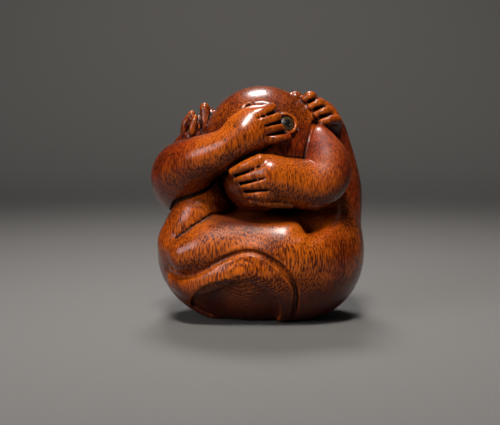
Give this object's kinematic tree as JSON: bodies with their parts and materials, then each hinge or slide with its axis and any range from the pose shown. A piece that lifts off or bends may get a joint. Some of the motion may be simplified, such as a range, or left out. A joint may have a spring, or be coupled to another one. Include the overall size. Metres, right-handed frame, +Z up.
{
  "type": "netsuke",
  "caption": "Carved lacquered wood netsuke of a seated monkey covering its eyes, ears and mouth with its hands, with one inlaid horn eye and a cord channel in the back.",
  "frame": {"origin": "under the middle of the figure, on the flat underside it rests on", "axes": "+Z up, -Y is where the face looks, +X is the viewer's right when facing the figure"},
  "size_m": [0.0366, 0.0311, 0.0398],
  "materials": {
    "wood": "clear lacquer, high gloss",
    "horn": "polished",
    "dark_horn": "polished"
  },
  "bodies": {
    "root": {"monkey": "wood", "eye_iris": "horn", "eye_pupil": "dark_horn"}
  },
  "joints": []
}
